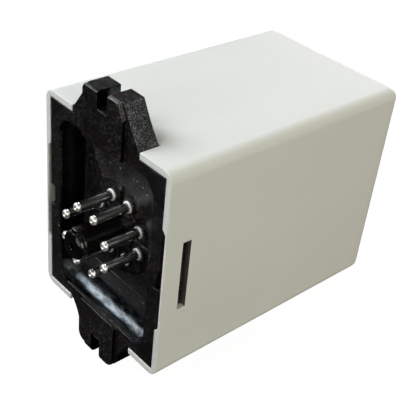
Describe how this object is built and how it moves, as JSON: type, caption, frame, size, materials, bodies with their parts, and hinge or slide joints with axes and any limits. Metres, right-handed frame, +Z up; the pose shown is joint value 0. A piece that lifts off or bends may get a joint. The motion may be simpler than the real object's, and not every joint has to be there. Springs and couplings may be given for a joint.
{
  "type": "plug-in relay",
  "caption": "Plug-in electromagnetic relay in a pale moulded box on a black octal plug base with slotted hold-down ears and a front adjuster.",
  "frame": {"origin": "centre of the whole relay's box, between the spigot end and the knob face, and between the two ear tips", "axes": "+Y runs from the pins into the case, towards the front face with the knob; +Z is up, along the line of the two ears; +X is to the right seen from the pin side"},
  "size_m": [0.0486, 0.1008, 0.0784],
  "materials": {
    "pale_plastic": "fine satin moulding, warm pale grey",
    "black_plastic": "black phenolic moulding, semi-gloss",
    "plated_brass": "bright nickel plate on brass",
    "green_board": "green solder mask on glass-fibre board",
    "clear_plastic": "clear polycarbonate dust cover",
    "dark_resin": "dark moulded resin",
    "copper_wire": "enamelled copper winding",
    "iron": "soft iron, dull plated",
    "spring_bronze": "spring bronze strip",
    "tinned_strip": "tinned brass strip with silver contact",
    "cream_plastic": "cream nylon moulding",
    "red_sleeve": "red PVC insulation",
    "blue_sleeve": "blue PVC sleeve",
    "tan_resin": "tan dipped coating",
    "green_lens": "green light pipe",
    "amber_lens": "amber light pipe",
    "label_film": "grey printed film"
  },
  "bodies": {
    "case": {"adjuster_body": "dark_resin", "board_header_left": "dark_resin", "board_header_right": "dark_resin", "bridge_rectifier": "dark_resin", "case_cover": "pale_plastic", "coil_bobbin": "cream_plastic", "coil_core": "iron", "coil_winding": "copper_wire", "common_terminal_a": "tinned_strip", "common_terminal_b": "tinned_strip", "control_ic": "dark_resin", "dropping_resistor_1": "tan_resin", "dropping_resistor_2": "tan_resin", "filter_capacitor": "blue_sleeve", "front_board": "green_board", "front_label": "label_film", "hinge_spring": "spring_bronze", "lead_wire_1": "red_sleeve", "lead_wire_2": "blue_sleeve", "lead_wire_3": "red_sleeve", "lead_wire_4": "blue_sleeve", "lead_wire_5": "red_sleeve", "lead_wire_6": "blue_sleeve", "lead_wire_7": "red_sleeve", "lead_wire_8": "blue_sleeve", "led_power": "cream_plastic", "led_relay": "cream_plastic", "light_pipe_power": "green_lens", "light_pipe_relay": "amber_lens", "main_board": "green_board", "nc_contact_a": "tinned_strip", "nc_contact_b": "tinned_strip", "no_contact_a": "tinned_strip", "no_contact_b": "tinned_strip", "pin_1": "plated_brass", "pin_2": "plated_brass", "pin_3": "plated_brass", "pin_4": "plated_brass", "pin_5": "plated_brass", "pin_6": "plated_brass", "pin_7": "plated_brass", "pin_8": "plated_brass", "plug_base": "black_plastic", "power_board": "green_board", "relay_base": "dark_resin", "relay_cover": "clear_plastic", "relay_yoke": "iron", "surge_varistor": "tan_resin", "transformer_bobbin": "cream_plastic", "transformer_core": "iron", "transformer_winding": "copper_wire"},
    "knob": {"adjuster_shaft": "cream_plastic", "adjuster_knob": "black_plastic"},
    "armature": {"armature": "iron"},
    "card": {"actuator_card": "cream_plastic"},
    "blade_a": {"moving_blade_a": "spring_bronze"},
    "blade_b": {"moving_blade_b": "spring_bronze"}
  },
  "joints": [
    {"name": "knob_turn", "type": "hinge", "parent": "case", "child": "knob", "pos_m": [0, 0.0382, 0.0049], "axis": [0, -1, 0], "range_deg": [-140, 140]},
    {"name": "armature_tilt", "type": "hinge", "parent": "case", "child": "armature", "pos_m": [0.0031, -0.024, 0.0139], "axis": [0, 0, 1], "range_deg": [0, 4]},
    {"name": "card_slide", "type": "slide", "parent": "case", "child": "card", "axis": [-1, 0, 0], "range_m": [0, 0.001]},
    {"name": "blade_a_tilt", "type": "hinge", "parent": "case", "child": "blade_a", "pos_m": [-0.00575, 0.0008, 0.0107], "axis": [0, 0, -1], "range_deg": [0, 6.2]},
    {"name": "blade_b_tilt", "type": "hinge", "parent": "case", "child": "blade_b", "pos_m": [-0.00575, 0.0008, 0.0171], "axis": [0, 0, -1], "range_deg": [0, 6.2]}
  ],
  "couplings": [
    {"joint": "card_slide", "follows": "armature_tilt", "m_per_rad": 0.0143},
    {"joint": "blade_a_tilt", "follows": "armature_tilt", "ratio": 1.52},
    {"joint": "blade_b_tilt", "follows": "armature_tilt", "ratio": 1.52}
  ]
}
